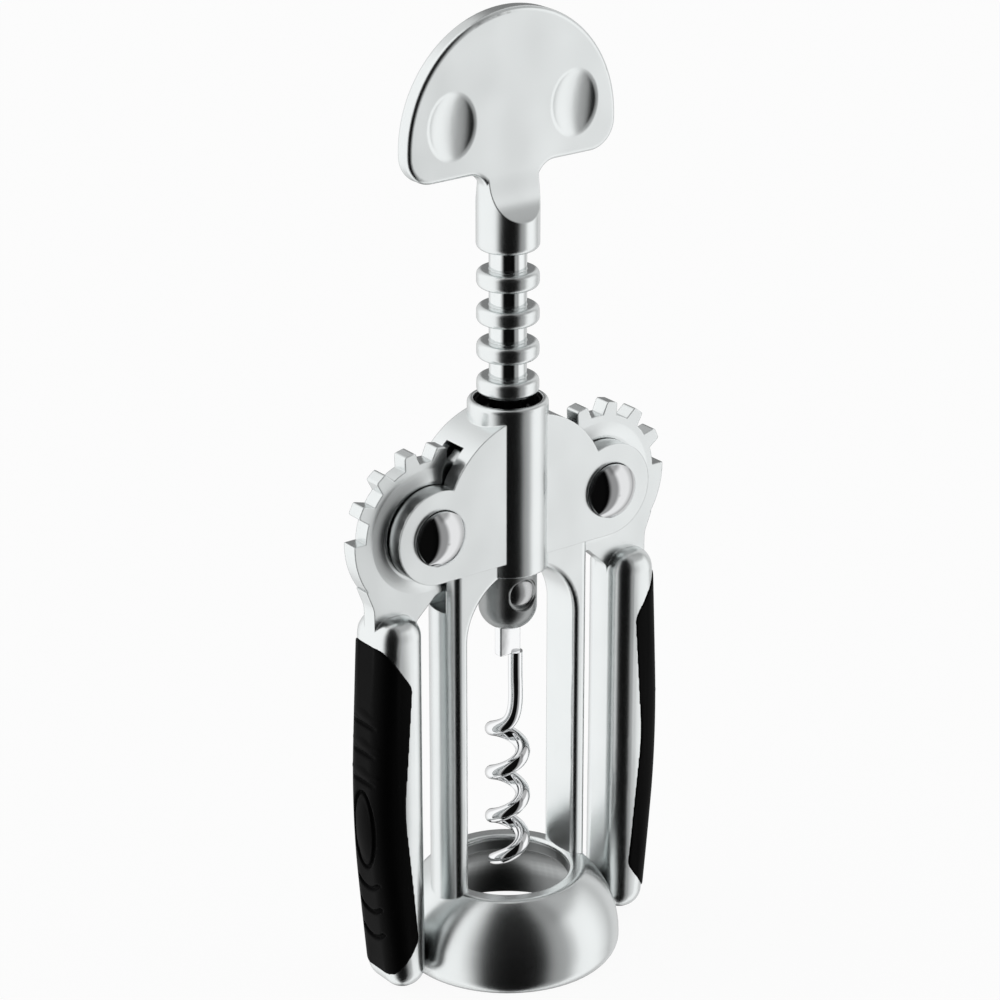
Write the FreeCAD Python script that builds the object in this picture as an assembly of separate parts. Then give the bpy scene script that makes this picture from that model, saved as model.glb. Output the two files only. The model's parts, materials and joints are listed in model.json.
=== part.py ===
import FreeCAD, Part
import math
import os

# Wing corkscrew. Millimetres, +Z up along the screw, X across the two wings, front is -Y.
# The origin is the centre of the bell's bottom rim, on the surface that the corkscrew stands on.
# It is drawn with both wings down and the screw at the top of its travel.

V = FreeCAD.Vector

# ---- driving dimensions -------------------------------------------------------------------

# bell that sits on the bottle
CORK_HOLE_R = 12.0           # passes a cork of up to 24 mm
CORK_HOLE_LENGTH = 3.0       # straight bore at the bell's top
BELL_HEIGHT = 16.7
BELL_SWELL = 9.8             # how far the widest place stands out beyond the cork hole
BELL_BELLY_Z = 2.5           # height of the widest place
BELL_WALL = 3.0              # thickness half way up the curved side
BELL_FOOT_TUCK = 0.9         # how far the outside curls in again from there to the foot
BELL_FOOT_WIDTH = 1.2        # width of the flat foot rim
BELL_TOP_WIDTH = 2.8         # from the cork hole out to the rim, before it is rounded
BELL_RIM_FILLET = 1.5
CORK_HOLE_FILLET = 0.8

# legs and web that join the bell to the gear case
LEG_TO_HOLE = 0.4            # from the cork hole's edge to the inside of a leg
LEG_THICKNESS = 2.45         # at its front and back edges
LEG_SWELL = 1.85             # how much further its round outer side stands out at mid-depth
LEG_HALF_DEPTH = 4.75
LEG_OUTER_FILLET = 1.6
LEG_INNER_FILLET = 1.1
LEG_ROOT_COVER = 0.3         # from a leg's foot, inside the bell's top, down to the end of the bore
WINDOW_DROP = 11.45          # from the pivots down to the crest of the window between the legs

# gear case and barrel
PIVOT_Z = 92.34
EAR_R = 9.1
EAR_THICKNESS = 3.35
CASE_ARCH_R = 18.35
CASE_ARCH_RISE = 0.86        # from the pivots up to the centre of the arch
BARREL_WALL = 1.1            # around the guide bush
BARREL_RISE = 21.26          # from the pivots up to the barrel's rim
BARREL_DROP = 11.95          # from the pivots down to the barrel's lower end
BARREL_RIM_FILLET = 0.8
BORE_OVERRUN = 3.0           # how far the bore runs on through the web under the barrel

# rack rings and gear teeth
TOOTH_PITCH = 6.85           # height from ring to ring
TEETH_PER_TURN = 14
RACK_LINE_R = 4.5            # radius on the rack where wheel and rings roll together
RING_R = 5.8
RING_THICKNESS = 3.35
RING_EDGE_FILLET = 1.1
RING_TO_COLLAR = 0.4         # least gap between the top ring and the collar
TIP_TO_NECK = 0.3            # from the tooth tips to the spindle's neck
ROOT_TO_RING = 0.48          # from the tooth roots to the rings
TIP_BACKLASH = 1.15          # the gap between two rings is this much wider than a tooth's tip
ROOT_BACKLASH = 0.25
TOOTH_TIP_FILLET = 0.5
TOOTH_ROOT_SINK = 1.0        # how far a tooth runs into the wheel
FIRST_TOOTH = -1             # tooth 0 points at the screw when the wings are down
LAST_TOOTH = 6
GEAR_CLEARANCE = 0.7         # from the tooth tips to the case
SLOT_DROP = 17.2             # from the pivots down to the flat lower end of a gear slot
WING_SWING_DEG = 105.0

# spindle
NECK_R = 3.5
PLUG_INSET = 0.26            # the plain lower end is this much smaller in radius than the rings
PLUG_LENGTH = 16.2
PLUG_END_ROUNDING = 0.85     # fillet of its lower end, as a share of its radius
SPINDLE_TO_BUSH = 0.07       # running clearance
COLLAR_GAP = 0.9             # left between collar and barrel when the wings are fully up

# guide bush in the barrel's mouth
BUSH_WALL = 0.55
BUSH_LENGTH = 5.0
BUSH_RECESS = 0.6            # depth of its top below the barrel's rim
BUSH_RUNNING_GAP = 0.05
BARREL_BORE_CLEARANCE = 0.27

# handle
HANDLE_WIDTH = 46.4
HANDLE_SIDE = 0.7            # straight side between the lower corner and the round top
HANDLE_THICKNESS = 3.6
HANDLE_CORNER_R = 5.5
HANDLE_EDGE_FILLET = 0.9
HANDLE_ROOT_FILLET = 4.0
COLLAR_R = 5.85
COLLAR_HEIGHT = 15.33        # from its lower end up to the plate's lower edge
COLLAR_EDGE_FILLET = 1.1
SCOOP_R = 10.75              # hollow curve from the plate's face down to the collar
SCOOP_DROP = 0.8             # from the plate's lower edge down to where the scoop begins
SOCKET_DEPTH = 7.5           # the spindle's top end pressed into the collar
DIMPLE_X = 13.6
DIMPLE_RISE = 9.9            # from the plate's lower edge up to the middle of a dimple
DIMPLE_HALF_WIDTH = 5.0
DIMPLE_HALF_HEIGHT = 6.1
DIMPLE_DEPTH = 1.0
DIMPLE_SINK = 0.5            # share of the dimple's ellipsoid that stands outside the face
DIMPLE_RIM_FILLET = 1.6

# worm, a round wire with a flat tang, and its rivet
WIRE_R = 1.42
HELIX_R = 2.98
HELIX_PITCH = 9.35
HELIX_TURNS = 3.35
TIP_ANGLE_DEG = 100.0
TIP_TAPER_TURNS = 0.32
TIP_BLUNTNESS = 0.12         # radius left at the point, as a share of the wire's
HELIX_SECTIONS_PER_TURN = 24
BEND_RISE = 8.9              # height in which the helix straightens into the shank
BEND_STEPS = 8
SHANK_LENGTH = 4.8
SHANK_X = 1.5
SHANK_Y = -0.45
TANG_WIDTH = 4.8
TANG_THICKNESS = 2.0
TANG_SHOW = 5.7              # length of the tang below the spindle
TANG_DEPTH = 12.3            # length of the tang inside the spindle
TANG_GAP = 0.05
RIVET_RISE = 8.1             # from the spindle's lower end up to the rivet
RIVET_R = 1.5
RIVET_HEAD_R = 2.8
RIVET_HEAD_HEIGHT = 1.0
RIVET_RECESS_GAP = 0.4       # around the rivet's head
RIVET_RECESS_DEPTH = 0.97

# wings: gear plate, hub boss and arm
GEAR_PLATE_THICKNESS = 3.4
HUB_STEP = 0.55              # how far the hub boss stands out of each face of the plate
HUB_FLANK_WIDTH = 2.4        # width of the hollow flank from the boss's flat down to the plate
HUB_TO_ROOTS = 1.38          # from the flank's foot out to the tooth roots
HUB_FLANK_SAG = 0.2          # of the flank's middle under a straight slope, as a share of the step
HUB_TO_EAR = 0.35            # side clearance between hub boss and ear
SHOULDER_RISE = 0.6          # from the pivot up to the top of the plate's round outer shoulder
NECK_INSET = 0.3             # the plate is this much narrower than the arm's outer edge
NECK_TOP_DROP = 9.0          # from the pivot down to where the plate leaves the hub
NECK_FLARE = 1.6             # how far the plate stands out further at that height
NECK_FLARE_HEIGHT = 4.0
NECK_FLARE_R = 5.0
NECK_INNER_REACH = 4.2       # from the pivot to the plate's inner edge under the hub
NECK_INNER_SLANT = 0.8
NECK_INNER_DROP = 12.0
NECK_INNER_R = 2.5
NECK_FOOT_R = 2.0
NECK_LAP = 2.5               # from the arm's top down to where its inner edge takes over
ARM_DROP = 15.1              # from the pivot down to the top of the arm
ARM_GROUND_GAP = 0.3
ARM_HALF_DEPTH = 6.0
ARM_CROWN_R = 14.0           # the arm's front and back are crowned by this radius across it
ARM_EDGE_FILLET = 3.8
ARM_CORNER_R = 4.0
ARM_INNER_OFFSET = 2.64      # from the pivot out to the arm's inner edge
ARM_TO_BELL = 0.35
ARM_INNER_BEND_Z = 40.0
ARM_TOP_WIDTH = 9.5
ARM_BELLY_WIDTH = 11.6
ARM_BELLY_Z = 37.0
ARM_FOOT_WIDTH = 8.15
ARM_SIDE_R = 180.0

# rubber grips
GRIP_TOP_DROP = 4.8          # from the arm's top down to the grip's
GRIP_TOP_SLANT = 8.4         # height of the slanted top edge
GRIP_TOP_WIDTH = 5.4         # from the arm's outer edge in to the grip's long edge
GRIP_WAIST_WIDTH = 5.6
GRIP_WAIST_Z = 38.5
GRIP_WAIST_R = 60.0
GRIP_FOOT_WIDTH = 4.8
GRIP_FOOT_RISE = 3.7         # from the arm's lower end up to the grip's
GRIP_FOOT_SLANT = 6.9
GRIP_TOP_R = 2.0
GRIP_CORNER_R = 3.0
GRIP_WALL = 2.1
CORE_HALF_DEPTH = 3.4
CORE_INSET = 2.0             # from the arm's inner edge to the core's
CORE_TOP_DROP = 5.0
CORE_FOOT_RISE = 2.5

# pivot pins
PIN_R = 3.0
PIN_RUNNING_GAP = 0.05
PIN_HEAD_R = 5.25
PIN_HEAD_SINK = 0.8          # depth of the head's seat in the ear
PIN_HEAD_WALL = 1.0          # straight side of the head that stands out of the ear
PIN_DOME_HEIGHT = 2.0
PIN_HEAD_GAP = 0.15
TAIL_HEAD_R = 4.6
TAIL_HEAD_HEIGHT = 1.0

FILLET_SHARE = 0.98          # the most of a wall's half width that a fillet may take
HEAD_LAP = 0.3               # how far a shaft runs into its own head
CUT_OVERRUN = 1.0            # how far a cutting tool runs past the metal
TOLERANCE = 1e-4             # when places of the same shape are compared

# ---- sizes worked out from them -----------------------------------------------------------

BELL_BELLY_R = CORK_HOLE_R + BELL_SWELL
BELL_FOOT_R = BELL_BELLY_R - BELL_FOOT_TUCK
BELL_MOUTH_R = BELL_FOOT_R - BELL_FOOT_WIDTH
CORK_HOLE_BOTTOM_Z = BELL_HEIGHT - CORK_HOLE_LENGTH

LEG_INNER_X = CORK_HOLE_R + LEG_TO_HOLE
LEG_EDGE_X = LEG_INNER_X + LEG_THICKNESS
LEG_OUTER_X = LEG_EDGE_X + LEG_SWELL
WINDOW_CREST_Z = PIVOT_Z - WINDOW_DROP

PITCH_R = TOOTH_PITCH * TEETH_PER_TURN / (2 * math.pi)
PIVOT_X = PITCH_R + RACK_LINE_R
GEAR_TIP_R = PIVOT_X - NECK_R - TIP_TO_NECK
GEAR_ROOT_R = PIVOT_X - RING_R - ROOT_TO_RING
RING_SPACE = TOOTH_PITCH - RING_THICKNESS
TOOTH_TIP_WIDTH = RING_SPACE - TIP_BACKLASH
TOOTH_ROOT_WIDTH = RING_SPACE - ROOT_BACKLASH
TRAVEL = PITCH_R * math.radians(WING_SWING_DEG)

HUB_FOOT_R = GEAR_ROOT_R - HUB_TO_ROOTS
HUB_R = HUB_FOOT_R - HUB_FLANK_WIDTH
HUB_HALF_DEPTH = GEAR_PLATE_THICKNESS / 2 + HUB_STEP
SLOT_HALF_WIDTH = HUB_HALF_DEPTH + HUB_TO_EAR
CASE_HALF_DEPTH = SLOT_HALF_WIDTH + EAR_THICKNESS
CASE_ARCH_Z = PIVOT_Z + CASE_ARCH_RISE
CASE_BOTTOM_Z = PIVOT_Z - EAR_R

BUSH_INNER_R = RING_R + SPINDLE_TO_BUSH
BUSH_OUTER_R = BUSH_INNER_R + BUSH_WALL
BUSH_SEAT_R = BUSH_OUTER_R + BUSH_RUNNING_GAP
BARREL_R = BUSH_SEAT_R + BARREL_WALL
BARREL_TOP_Z = PIVOT_Z + BARREL_RISE
BARREL_BOTTOM_Z = PIVOT_Z - BARREL_DROP
BARREL_BORE_R = RING_R + BARREL_BORE_CLEARANCE
BUSH_TOP_Z = BARREL_TOP_Z - BUSH_RECESS
BUSH_BOTTOM_Z = BUSH_TOP_Z - BUSH_LENGTH

COLLAR_BOTTOM_Z = BARREL_TOP_Z + TRAVEL + COLLAR_GAP
SOCKET_TOP_Z = COLLAR_BOTTOM_Z + SOCKET_DEPTH
HANDLE_BOTTOM_Z = COLLAR_BOTTOM_Z + COLLAR_HEIGHT
HANDLE_HALF = HANDLE_WIDTH / 2
SCOOP_TOP_Z = HANDLE_BOTTOM_Z - SCOOP_DROP
DIMPLE_Z = HANDLE_BOTTOM_Z + DIMPLE_RISE

LOWEST_RING_Z = PIVOT_Z - TOOTH_PITCH / 2
RACK_LENGTH = COLLAR_BOTTOM_Z - RING_TO_COLLAR - RING_THICKNESS / 2 - LOWEST_RING_Z
RING_COUNT = math.floor(RACK_LENGTH / TOOTH_PITCH) + 1
PLUG_R = RING_R - PLUG_INSET
PLUG_TOP_Z = LOWEST_RING_Z - TOOTH_PITCH + RING_THICKNESS / 2
PLUG_BOTTOM_Z = PLUG_TOP_Z - PLUG_LENGTH

TANG_TOP_Z = PLUG_BOTTOM_Z + TANG_DEPTH
TANG_BOTTOM_Z = PLUG_BOTTOM_Z - TANG_SHOW
SHANK_JOIN_Z = TANG_BOTTOM_Z - SHANK_LENGTH
TIP_Z = SHANK_JOIN_Z - BEND_RISE - HELIX_TURNS * HELIX_PITCH
RIVET_Z = PLUG_BOTTOM_Z + RIVET_RISE
RIVET_RECESS_R = RIVET_HEAD_R + RIVET_RECESS_GAP
RIVET_RECESS_Y = PLUG_R - RIVET_RECESS_DEPTH

ARM_TOP_Z = PIVOT_Z - ARM_DROP
ARM_INNER_TOP_X = PIVOT_X + ARM_INNER_OFFSET
ARM_INNER_FOOT_X = BELL_BELLY_R + ARM_TO_BELL
ARM_OUTER_TOP_X = ARM_INNER_TOP_X + ARM_TOP_WIDTH
ARM_OUTER_BELLY_X = ARM_INNER_TOP_X + ARM_BELLY_WIDTH
ARM_OUTER_FOOT_X = ARM_INNER_FOOT_X + ARM_FOOT_WIDTH
NECK_OUTER_X = ARM_OUTER_TOP_X - NECK_INSET
ARM_ROUND_R = min(ARM_CORNER_R, FILLET_SHARE * ARM_FOOT_WIDTH / 2)
ARM_EDGE_R = min(ARM_EDGE_FILLET, FILLET_SHARE * ARM_ROUND_R)
CORE_TOP_Z = ARM_TOP_Z - CORE_TOP_DROP
CORE_FOOT_Z = ARM_GROUND_GAP + CORE_FOOT_RISE

GRIP_TOP_Z = ARM_TOP_Z - GRIP_TOP_DROP
GRIP_SHOULDER_Z = GRIP_TOP_Z - GRIP_TOP_SLANT
GRIP_BOTTOM_Z = ARM_GROUND_GAP + GRIP_FOOT_RISE
GRIP_FOOT_Z = GRIP_BOTTOM_Z + GRIP_FOOT_SLANT
GRIP_EDGE_TOP_X = ARM_OUTER_TOP_X - GRIP_TOP_WIDTH
GRIP_WAIST_X = ARM_OUTER_BELLY_X - GRIP_WAIST_WIDTH
GRIP_EDGE_FOOT_X = ARM_OUTER_FOOT_X - GRIP_FOOT_WIDTH


# ---- helpers ------------------------------------------------------------------------------

def cylinder_z(radius, z_low, z_high, x=0.0, y=0.0):
    return Part.makeCylinder(radius, z_high - z_low, V(x, y, z_low))


def cylinder_y(radius, x, z, y_low, y_high):
    return Part.makeCylinder(radius, y_high - y_low, V(x, y_low, z), V(0, 1, 0))


def block(x_low, x_high, y_low, y_high, z_low, z_high):
    return Part.makeBox(x_high - x_low, y_high - y_low, z_high - z_low, V(x_low, y_low, z_low))


def rounded_outline(corners):
    """Closed wire in the XZ plane through (x, z, radius) corners, each rounded by its radius."""
    edges = []
    previous_end = None
    first_start = None
    count = len(corners)
    for i, (x, z, radius) in enumerate(corners):
        here = V(x, 0, z)
        back = (V(corners[i - 1][0], 0, corners[i - 1][1]) - here).normalize()
        ahead = (V(corners[(i + 1) % count][0], 0, corners[(i + 1) % count][1]) - here).normalize()
        half_angle = math.acos(max(-1.0, min(1.0, back.dot(ahead)))) / 2
        start = end = here
        if radius > 0:
            run = radius / math.tan(half_angle)
            start = here + back * run
            end = here + ahead * run
            bisector = (back + ahead).normalize()
            middle = here + bisector * (radius / math.sin(half_angle) - radius)
        if previous_end is None:
            first_start = start
        else:
            edges.append(Part.LineSegment(previous_end, start).toShape())
        if radius > 0:
            edges.append(Part.Arc(start, middle, end).toShape())
        previous_end = end
    edges.append(Part.LineSegment(previous_end, first_start).toShape())
    return Part.Wire(edges)


def plate_y(wire, half_depth):
    """Solid of an XZ outline, as deep to the front as to the back."""
    face = Part.Face(wire)
    face.translate(V(0, -half_depth, 0))
    return face.extrude(V(0, 2 * half_depth, 0))


def revolved(edges):
    """Solid of revolution about the Z axis from edges in the XZ plane."""
    outline = Part.Wire(Part.__sortEdges__(edges))
    return Part.Face(outline).revolve(V(0, 0, 0), V(0, 0, 1), 360)


def chain(points):
    """Straight edges joining (x, z) points."""
    corners = [V(x, 0, z) for x, z in points]
    return [Part.LineSegment(a, b).toShape() for a, b in zip(corners, corners[1:])]


def round_edges(solid, radius, wanted):
    return solid.makeFillet(radius, [edge for edge in solid.Edges if wanted(edge)])


def is_circle_at(edge, z, radius):
    """True for a level circle about the Z axis of this height and radius."""
    if not isinstance(edge.Curve, Part.Circle):
        return False
    centre = edge.Curve.Center
    return abs(centre.z - z) < TOLERANCE and abs(edge.Curve.Radius - radius) < TOLERANCE


def domed_head(radius, height):
    """Cap of a ball on the plane z = 0, rising to the height."""
    ball_r = (radius ** 2 + height ** 2) / (2 * height)
    ball = Part.makeSphere(ball_r, V(0, 0, height - ball_r))
    return ball.common(cylinder_z(radius, 0, height + CUT_OVERRUN))


def facing_front(shape, x, y, z):
    """Turns a head that was drawn upwards to point to -Y, with its seat at y."""
    turned = shape.copy()
    turned.rotate(V(0, 0, 0), V(1, 0, 0), 90)
    turned.translate(V(x, y, z))
    return turned


def facing_back(shape, x, y, z):
    turned = shape.copy()
    turned.rotate(V(0, 0, 0), V(1, 0, 0), -90)
    turned.translate(V(x, y, z))
    return turned


# ---- body casting -------------------------------------------------------------------------

def bell():
    """Hollow bell: curved side, flat foot rim, and inside it a flare from the cork hole to the mouth."""
    rim = V(CORK_HOLE_R + BELL_TOP_WIDTH, 0, BELL_HEIGHT)
    belly = V(BELL_BELLY_R, 0, BELL_BELLY_Z)
    foot = V(BELL_FOOT_R, 0, 0)
    mouth = V(BELL_MOUTH_R, 0, 0)
    hole = V(CORK_HOLE_R, 0, CORK_HOLE_BOTTOM_Z)
    inward, upward = belly.x - rim.x, rim.z - belly.z
    side_r = (inward ** 2 + upward ** 2) / (2 * inward)
    mid_z = (belly.z + rim.z) / 2
    mid_x = belly.x - side_r + math.sqrt(side_r ** 2 - (mid_z - belly.z) ** 2)
    foot_swell = V((foot.x + 2 * belly.x) / 3, 0, belly.z / 3)
    edges = [
        Part.Arc(foot, foot_swell, belly).toShape(),
        Part.Arc(belly, V(mid_x, 0, mid_z), rim).toShape(),
        Part.Arc(hole, V(mid_x - BELL_WALL, 0, mid_z), mouth).toShape(),
    ]
    edges += chain([(rim.x, rim.z), (hole.x, rim.z), (hole.x, hole.z)])
    edges += chain([(mouth.x, mouth.z), (foot.x, foot.z)])
    solid = revolved(edges)
    solid = round_edges(solid, BELL_RIM_FILLET, lambda edge: is_circle_at(edge, BELL_HEIGHT, rim.x))
    return round_edges(solid, CORK_HOLE_FILLET,
                       lambda edge: is_circle_at(edge, BELL_HEIGHT, CORK_HOLE_R))


def legs():
    """Both legs and the web above them: one strap, round at its outer sides, with an arched window."""
    leg_foot_z = CORK_HOLE_BOTTOM_Z + LEG_ROOT_COVER
    arch_z = WINDOW_CREST_Z - LEG_INNER_X
    y_cut = LEG_HALF_DEPTH + CUT_OVERRUN
    section = []
    for side in (-1, 1):
        front = V(side * LEG_EDGE_X, -LEG_HALF_DEPTH, leg_foot_z)
        back = V(side * LEG_EDGE_X, LEG_HALF_DEPTH, leg_foot_z)
        section.append(Part.Arc(front, V(side * LEG_OUTER_X, 0, leg_foot_z), back).toShape())
        section.append(Part.LineSegment(V(-LEG_EDGE_X, side * LEG_HALF_DEPTH, leg_foot_z),
                                        V(LEG_EDGE_X, side * LEG_HALF_DEPTH, leg_foot_z)).toShape())
    strap = Part.Face(Part.Wire(Part.__sortEdges__(section))).extrude(V(0, 0, PIVOT_Z - leg_foot_z))
    window = block(-LEG_INNER_X, LEG_INNER_X, -y_cut, y_cut, leg_foot_z - CUT_OVERRUN, arch_z)
    window = window.fuse(cylinder_y(LEG_INNER_X, 0, arch_z, -y_cut, y_cut))
    strap = strap.cut(window).removeSplitter()

    def is_long_edge(edge):
        box = edge.BoundBox
        on_face = box.YLength < TOLERANCE and abs(abs(box.Center.y) - LEG_HALF_DEPTH) < TOLERANCE
        return on_face and box.ZLength > TOLERANCE

    def is_outer_edge(edge):
        return is_long_edge(edge) and abs(edge.BoundBox.Center.x) > LEG_INNER_X + TOLERANCE

    def is_inner_edge(edge):
        return is_long_edge(edge) and abs(edge.BoundBox.Center.x) < LEG_INNER_X + TOLERANCE

    strap = round_edges(strap, LEG_OUTER_FILLET, is_outer_edge)
    return round_edges(strap, LEG_INNER_FILLET, is_inner_edge)


def gear_case():
    """Arched case with an ear around each pivot, still solid inside."""
    y_low, y_high = -CASE_HALF_DEPTH, CASE_HALF_DEPTH
    case = cylinder_y(CASE_ARCH_R, 0, CASE_ARCH_Z, y_low, y_high)
    below = block(-2 * CASE_ARCH_R, 2 * CASE_ARCH_R, 2 * y_low, 2 * y_high,
                  CASE_BOTTOM_Z - 2 * CASE_ARCH_R, CASE_BOTTOM_Z)
    case = case.cut(below)
    for side in (-1, 1):
        case = case.fuse(cylinder_y(EAR_R, side * PIVOT_X, PIVOT_Z, y_low, y_high))
    return case.fuse(block(-PIVOT_X, PIVOT_X, y_low, y_high, CASE_BOTTOM_Z, PIVOT_Z)).removeSplitter()


def barrel():
    tube = cylinder_z(BARREL_R, BARREL_BOTTOM_Z, BARREL_TOP_Z)
    return round_edges(tube, BARREL_RIM_FILLET, lambda edge: is_circle_at(edge, BARREL_TOP_Z, BARREL_R))


def body_casting():
    casting = bell().multiFuse([legs(), gear_case(), barrel()])
    cuts = [
        cylinder_z(BARREL_BORE_R, BARREL_BOTTOM_Z - BORE_OVERRUN, BARREL_TOP_Z + CUT_OVERRUN),
        cylinder_z(BUSH_SEAT_R, BUSH_BOTTOM_Z - BUSH_RUNNING_GAP, BARREL_TOP_Z + CUT_OVERRUN),
    ]
    y_cut = CASE_HALF_DEPTH + CUT_OVERRUN
    for side in (-1, 1):
        x = side * PIVOT_X
        cuts.append(cylinder_y(GEAR_TIP_R + GEAR_CLEARANCE, x, PIVOT_Z, -SLOT_HALF_WIDTH, SLOT_HALF_WIDTH))
        leg_near, leg_far = sorted((side * LEG_INNER_X, side * (LEG_OUTER_X + CUT_OVERRUN)))
        cuts.append(block(leg_near, leg_far, -SLOT_HALF_WIDTH, SLOT_HALF_WIDTH,
                          PIVOT_Z - SLOT_DROP, PIVOT_Z))
        cuts.append(cylinder_y(PIN_R, x, PIVOT_Z, -y_cut, y_cut))
        cuts.append(cylinder_y(PIN_HEAD_R + PIN_HEAD_GAP, x, PIVOT_Z, -y_cut,
                               -CASE_HALF_DEPTH + PIN_HEAD_SINK))
    return casting.cut(cuts).removeSplitter()


# ---- screw assembly -----------------------------------------------------------------------

def guide_bush():
    outside = cylinder_z(BUSH_OUTER_R, BUSH_BOTTOM_Z, BUSH_TOP_Z)
    hole = cylinder_z(BUSH_INNER_R, BUSH_BOTTOM_Z - CUT_OVERRUN, BUSH_TOP_Z + CUT_OVERRUN)
    return outside.cut(hole)


def rack_ring(z):
    low, high = z - RING_THICKNESS / 2, z + RING_THICKNESS / 2
    ring = cylinder_z(RING_R, low, high)
    return round_edges(ring, RING_EDGE_FILLET,
                       lambda edge: is_circle_at(edge, low, RING_R) or is_circle_at(edge, high, RING_R))


def tang_box(gap, z_low, z_high):
    half_width = TANG_WIDTH / 2 + gap
    half_depth = TANG_THICKNESS / 2 + gap
    return block(-half_width, half_width, -half_depth, half_depth, z_low, z_high)


def spindle():
    """Rack of rings on a neck, with the plain plug below that holds the worm's tang."""
    plug = cylinder_z(PLUG_R, PLUG_BOTTOM_Z, PLUG_TOP_Z)
    plug = round_edges(plug, PLUG_END_ROUNDING * PLUG_R,
                       lambda edge: is_circle_at(edge, PLUG_BOTTOM_Z, PLUG_R))
    plug = round_edges(plug, RING_EDGE_FILLET, lambda edge: is_circle_at(edge, PLUG_TOP_Z, PLUG_R))
    rack = plug.fuse(cylinder_z(NECK_R, PLUG_TOP_Z - RING_THICKNESS / 2, SOCKET_TOP_Z))
    for index in range(RING_COUNT):
        rack = rack.fuse(rack_ring(LOWEST_RING_Z + index * TOOTH_PITCH))
    y_cut = PLUG_R + CUT_OVERRUN
    cuts = [
        tang_box(TANG_GAP, PLUG_BOTTOM_Z - CUT_OVERRUN, TANG_TOP_Z + TANG_GAP),
        cylinder_y(RIVET_R, 0, RIVET_Z, -y_cut, y_cut),
        cylinder_y(RIVET_RECESS_R, 0, RIVET_Z, -y_cut, -RIVET_RECESS_Y),
        cylinder_y(RIVET_RECESS_R, 0, RIVET_Z, RIVET_RECESS_Y, y_cut),
    ]
    return rack.cut(cuts)


def handle_outline():
    """D-shaped plate standing on a short neck, with hollow fillets where they meet."""
    half_thickness = HANDLE_THICKNESS / 2
    neck_x = math.sqrt(COLLAR_R ** 2 - half_thickness ** 2)
    corner_z = HANDLE_BOTTOM_Z + HANDLE_CORNER_R
    fillet_z = HANDLE_BOTTOM_Z - HANDLE_ROOT_FILLET
    corner_x = HANDLE_HALF - HANDLE_CORNER_R
    side_z = corner_z + HANDLE_SIDE
    turn = math.sqrt(0.5)
    crest = V(0, 0, side_z + HANDLE_HALF)
    edges = [Part.Arc(V(-HANDLE_HALF, 0, side_z), crest, V(HANDLE_HALF, 0, side_z)).toShape()]
    for side in (1, -1):
        edges += chain([(side * HANDLE_HALF, side_z), (side * HANDLE_HALF, corner_z)])
        corner_mid = V(side * (corner_x + HANDLE_CORNER_R * turn), 0, corner_z - HANDLE_CORNER_R * turn)
        root_centre_x = neck_x + HANDLE_ROOT_FILLET
        root_mid = V(side * (root_centre_x - HANDLE_ROOT_FILLET * turn), 0,
                     fillet_z + HANDLE_ROOT_FILLET * turn)
        edges += [
            Part.Arc(V(side * HANDLE_HALF, 0, corner_z), corner_mid,
                     V(side * corner_x, 0, HANDLE_BOTTOM_Z)).toShape(),
            Part.LineSegment(V(side * corner_x, 0, HANDLE_BOTTOM_Z),
                             V(side * root_centre_x, 0, HANDLE_BOTTOM_Z)).toShape(),
            Part.Arc(V(side * root_centre_x, 0, HANDLE_BOTTOM_Z), root_mid,
                     V(side * neck_x, 0, fillet_z)).toShape(),
            Part.LineSegment(V(side * neck_x, 0, fillet_z), V(side * neck_x, 0, SOCKET_TOP_Z)).toShape(),
        ]
    edges += chain([(-neck_x, SOCKET_TOP_Z), (neck_x, SOCKET_TOP_Z)])
    return Part.Wire(Part.__sortEdges__(edges))


def dimple(side, face):
    """Oval bowl for a thumb: an ellipsoid whose rim lies on the handle's face."""
    widen = 1 / math.sqrt(1 - DIMPLE_SINK ** 2)
    half_depth = DIMPLE_DEPTH / (1 - DIMPLE_SINK)
    matrix = FreeCAD.Matrix()
    matrix.scale(DIMPLE_HALF_WIDTH * widen, half_depth, DIMPLE_HALF_HEIGHT * widen)
    bowl = Part.makeSphere(1.0).transformGeometry(matrix)
    y = face * (HANDLE_THICKNESS / 2 + DIMPLE_SINK * half_depth)
    bowl.translate(V(side * DIMPLE_X, y, DIMPLE_Z))
    return bowl


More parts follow.
